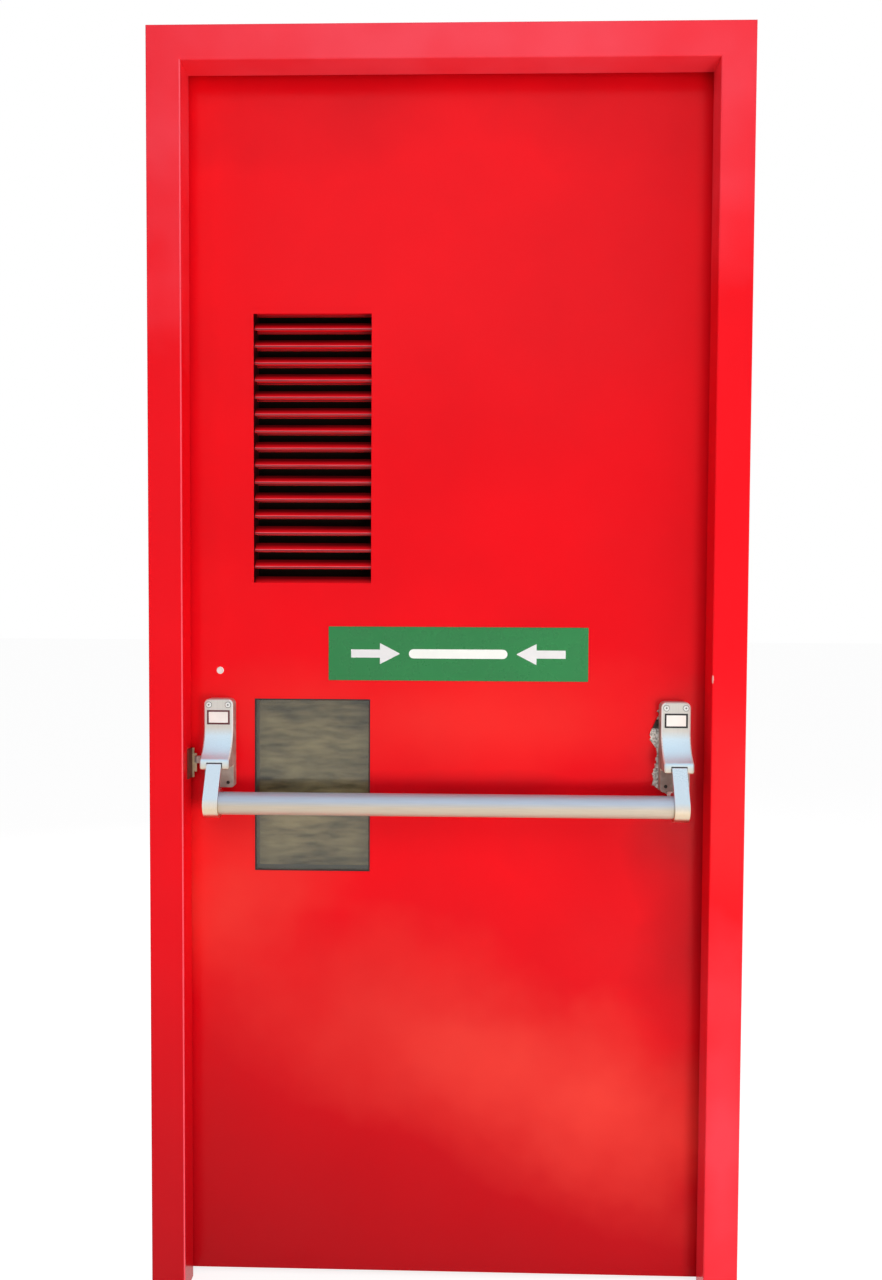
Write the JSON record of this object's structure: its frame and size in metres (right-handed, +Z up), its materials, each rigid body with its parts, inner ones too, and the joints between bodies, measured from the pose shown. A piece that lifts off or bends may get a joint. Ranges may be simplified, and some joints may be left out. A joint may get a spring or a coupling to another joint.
{
  "type": "steel utility door",
  "caption": "Single-leaf steel door in a pressed rebated frame, with a louvre, a vision panel and a push bar on scooped cases that draws a latch; it opens away from the bar.",
  "frame": {"origin": "on the wall-side lip of the hinge jamb, in the middle of the lip's width, at floor level", "axes": "+X from the lock jamb to the hinge jamb, along the wall; +Y the way the leaf opens, away from the push bar; +Z up"},
  "size_m": [1, 0.147, 2.14],
  "materials": {
    "frame_paint": "gloss",
    "anchor_steel": "galvanised",
    "leaf_paint": "gloss",
    "lining_steel": "galvanised",
    "core_board": "matte",
    "glass": "clear",
    "sign_green": "satin",
    "hinge_steel": "satin",
    "case_metal": "satin",
    "base_steel": "satin",
    "lever_metal": "satin",
    "bar_steel": "satin",
    "bolt_steel": "satin",
    "keeper_zinc": "yellow passivated"
  },
  "bodies": {
    "frame": {"frame_head": "frame_paint", "hinge_jamb": "frame_paint", "lock_jamb": "frame_paint", "hinge_jamb_anchors": "anchor_steel", "lock_jamb_anchors": "anchor_steel", "strike_keeper": "keeper_zinc", "top_hinge_jamb_plate": "hinge_steel", "middle_hinge_jamb_plate": "hinge_steel", "bottom_hinge_jamb_plate": "hinge_steel"},
    "door_leaf": {"leaf_skin_inside": "leaf_paint", "leaf_skin_outside": "leaf_paint", "leaf_top_channel": "leaf_paint", "leaf_bottom_channel": "leaf_paint", "louvre_casing": "leaf_paint", "louvre_blades": "leaf_paint", "vision_bead": "leaf_paint", "vision_casing": "lining_steel", "leaf_core": "core_board", "vision_glass": "glass", "exit_sign_plate": "sign_green", "top_hinge_leaf_plate": "hinge_steel", "middle_hinge_leaf_plate": "hinge_steel", "bottom_hinge_leaf_plate": "hinge_steel", "lock_case_cover": "case_metal", "hinge_case_cover": "case_metal", "lock_case_base": "base_steel", "hinge_case_base": "base_steel", "lock_case_pivot_pin": "base_steel", "hinge_case_pivot_pin": "base_steel"},
    "push_bar": {"push_bar_tube": "bar_steel", "lock_lever_arm": "lever_metal", "hinge_lever_arm": "lever_metal"},
    "latch": {"latch_bolt": "bolt_steel"}
  },
  "joints": [
    {"name": "door_swing", "type": "hinge", "parent": "frame", "child": "door_leaf", "pos_m": [-0.044, 0.104, 0], "axis": [0, 0, -1], "range_deg": [0, 120]},
    {"name": "bar_push", "type": "hinge", "parent": "door_leaf", "child": "push_bar", "pos_m": [-0.49975, 0.022, 0.92], "axis": [1, 0, 0], "range_deg": [0, 20], "stiffness_Nm_per_rad": 12, "springref_deg": -22.92},
    {"name": "latch_slide", "type": "slide", "parent": "door_leaf", "child": "latch", "axis": [1, 0, 0], "range_m": [0, 0.012]}
  ],
  "couplings": [
    {"joint": "latch_slide", "follows": "bar_push", "m_per_rad": 0.034}
  ]
}
